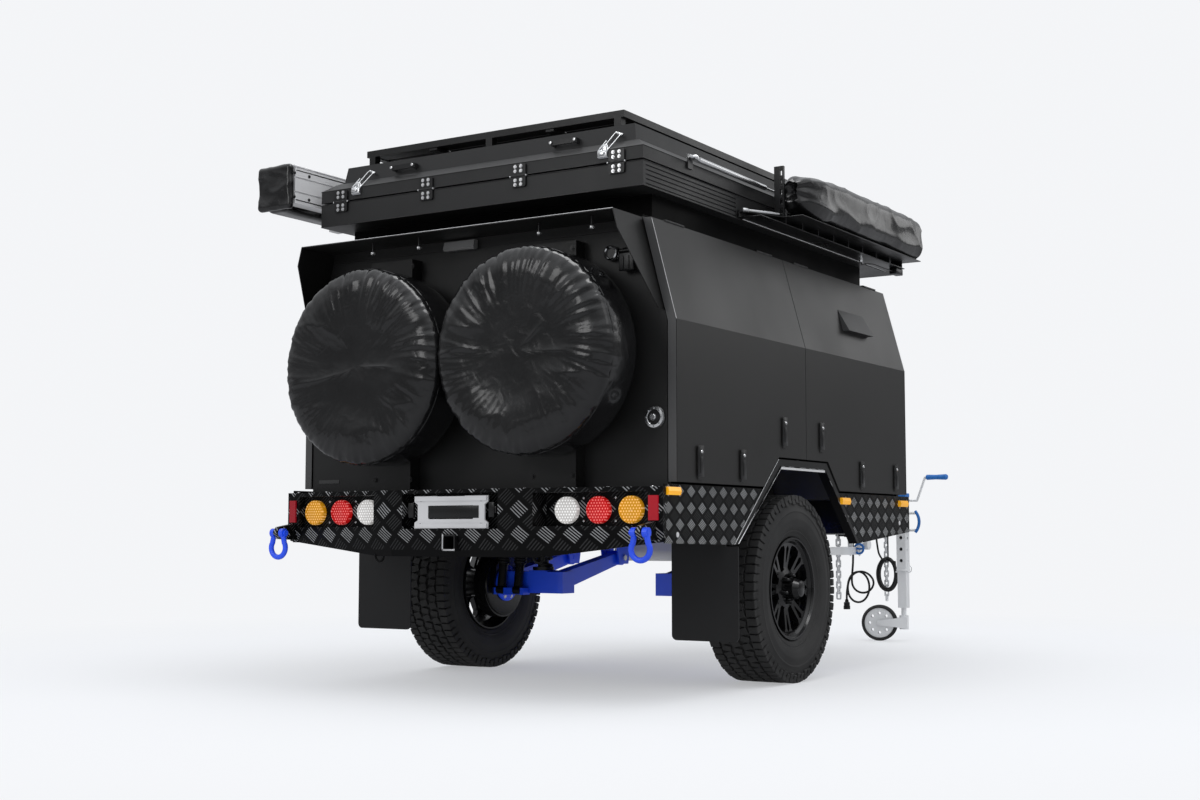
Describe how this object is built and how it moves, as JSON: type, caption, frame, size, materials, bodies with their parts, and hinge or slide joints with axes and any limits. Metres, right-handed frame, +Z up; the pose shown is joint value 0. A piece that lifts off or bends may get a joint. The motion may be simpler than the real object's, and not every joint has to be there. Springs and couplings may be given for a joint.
{
  "type": "off-road camper trailer",
  "caption": "Black off-road camper trailer with gull-wing side doors, fold-out roof tent, covered spare wheels, rear bar, trailing-arm axle and jockey wheel",
  "frame": {"origin": "bottom centre of the trailer's box, on the ground", "axes": "+X is the right-hand side, +Y is forward to the coupling, +Z is up"},
  "size_m": [2.1, 4.74, 2.309],
  "materials": {
    "frame_paint": "satin black",
    "body_paint": "gloss black",
    "bar_paint": "satin black on tread plate",
    "blue_paint": "gloss blue",
    "cover_vinyl": "coated black vinyl",
    "lamp_plastic": "clear gloss",
    "bare_alloy": "brushed",
    "flap_rubber": "matt",
    "stainless": "brushed",
    "tyre_rubber": "matt",
    "rim_paint": "satin",
    "shell_plastic": "fine textured",
    "tent_fabric": "woven",
    "chromed": "polished",
    "bag_fabric": "coated canvas",
    "trim_plastic": "semi-gloss",
    "galvanised": "galvanised",
    "blue_plastic": "moulded grip",
    "white_plastic": "moulded",
    "cable_rubber": "matt"
  },
  "bodies": {
    "trailer": {"chassis_frame": "frame_paint", "coupling": "frame_paint", "body_shell": "body_paint", "rear_hood": "body_paint", "spare_carriers": "body_paint", "spare_covers": "cover_vinyl", "rear_bar": "bar_paint", "receiver": "bar_paint", "rear_lamps": "lamp_plastic", "marker_lamps": "lamp_plastic", "fairlead": "bare_alloy", "shackles": "blue_paint", "side_skirts": "bar_paint", "mud_flaps": "flap_rubber", "suspension_arms": "blue_paint", "suspension_hangers": "blue_paint", "shock_absorbers": "frame_paint", "water_tank": "stainless", "tent_base": "shell_plastic", "tent_mattress": "tent_fabric", "tent_hinges": "stainless", "strut_brackets": "stainless", "side_tray": "bare_alloy", "side_bag": "bag_fabric", "awning_case": "bare_alloy", "awning_cover": "cover_vinyl", "wall_fittings": "trim_plastic", "front_toolbox": "body_paint", "jockey_sleeve": "galvanised", "jockey_grips": "blue_plastic", "stabiliser_brackets": "galvanised", "safety_chains": "galvanised", "lead_right": "cable_rubber", "lead_front": "cable_rubber", "lead_coil": "cable_rubber", "lead_plug": "trim_plastic"},
    "door_rear_right_body": {"door_rear_right": "body_paint"},
    "door_front_right_body": {"door_front_right": "body_paint"},
    "door_rear_left_body": {"door_rear_left": "body_paint"},
    "door_front_left_body": {"door_front_left": "body_paint"},
    "lid": {"tent_lid": "shell_plastic", "roof_rack": "bar_paint", "lid_fittings": "stainless"},
    "strut_tube_pair": {"strut_tubes": "chromed"},
    "strut_rod_pair": {"strut_rods": "chromed"},
    "toolbox_lid_body": {"toolbox_lid": "body_paint"},
    "wheel_right": {"tyre_right": "tyre_rubber", "rim_right": "rim_paint"},
    "wheel_left": {"tyre_left": "tyre_rubber", "rim_left": "rim_paint"},
    "jockey_tube": {"jockey_leg": "galvanised"},
    "jockey_caster": {"jockey_fork": "galvanised"},
    "jockey_roller": {"jockey_tyre": "tyre_rubber", "jockey_rim": "white_plastic"},
    "stabiliser_right_body": {"stabiliser_right": "galvanised"},
    "stabiliser_left_body": {"stabiliser_left": "galvanised"}
  },
  "joints": [
    {"name": "door_rear_right_hinge", "type": "hinge", "parent": "trailer", "child": "door_rear_right_body", "pos_m": [0.822, -1.48, 1.853], "axis": [0, -1, 0], "range_deg": [0, 85]},
    {"name": "door_front_right_hinge", "type": "hinge", "parent": "trailer", "child": "door_front_right_body", "pos_m": [0.822, -0.32, 1.853], "axis": [0, -1, 0], "range_deg": [0, 85]},
    {"name": "door_rear_left_hinge", "type": "hinge", "parent": "trailer", "child": "door_rear_left_body", "pos_m": [-0.822, -1.48, 1.853], "axis": [0, 1, 0], "range_deg": [0, 85]},
    {"name": "door_front_left_hinge", "type": "hinge", "parent": "trailer", "child": "door_front_left_body", "pos_m": [-0.822, -0.32, 1.853], "axis": [0, 1, 0], "range_deg": [0, 85]},
    {"name": "tent_lid_hinge", "type": "hinge", "parent": "trailer", "child": "lid", "pos_m": [0, -2.115, 2.069], "axis": [1, 0, 0], "range_deg": [0, 90]},
    {"name": "strut_swing", "type": "hinge", "parent": "lid", "child": "strut_tube_pair", "pos_m": [0, -1.746, 2.142], "axis": [1, 0, 0], "range_deg": [-103.09, 0]},
    {"name": "strut_extension", "type": "slide", "parent": "strut_tube_pair", "child": "strut_rod_pair", "axis": [0, 1, -0.0057], "range_m": [0, 0.4781]},
    {"name": "toolbox_lid_hinge", "type": "hinge", "parent": "trailer", "child": "toolbox_lid_body", "pos_m": [0, 0.314, 1.203], "axis": [1, 0, 0], "range_deg": [0, 85]},
    {"name": "wheel_right_spin", "type": "hinge", "parent": "trailer", "child": "wheel_right", "pos_m": [0.7975, -1, 0.402], "axis": [1, 0, 0], "continuous": true},
    {"name": "wheel_left_spin", "type": "hinge", "parent": "trailer", "child": "wheel_left", "pos_m": [-0.7975, -1, 0.402], "axis": [1, 0, 0], "continuous": true},
    {"name": "jockey_lift", "type": "slide", "parent": "trailer", "child": "jockey_tube", "axis": [0, 0, 1], "range_m": [-0.1, 0.22]},
    {"name": "jockey_swivel", "type": "hinge", "parent": "jockey_tube", "child": "jockey_caster", "pos_m": [0.27, 1.88, 0.15], "axis": [0, 0, 1], "continuous": true},
    {"name": "jockey_wheel_spin", "type": "hinge", "parent": "jockey_caster", "child": "jockey_roller", "pos_m": [0.13014, 1.84174, 0.107], "axis": [0.2639, -0.9646, 0], "continuous": true},
    {"name": "stabiliser_right_fold", "type": "hinge", "parent": "trailer", "child": "stabiliser_right_body", "pos_m": [0.28, 1.13, 0.545], "axis": [1, 0, 0], "range_deg": [0, 90]},
    {"name": "stabiliser_left_fold", "type": "hinge", "parent": "trailer", "child": "stabiliser_left_body", "pos_m": [-0.28, 1.13, 0.545], "axis": [1, 0, 0], "range_deg": [0, 90]}
  ],
  "couplings": [
    {"joint": "strut_swing", "follows": "tent_lid_hinge", "ratio": -1.1399},
    {"joint": "strut_extension", "follows": "tent_lid_hinge", "m_per_rad": 0.30308}
  ]
}
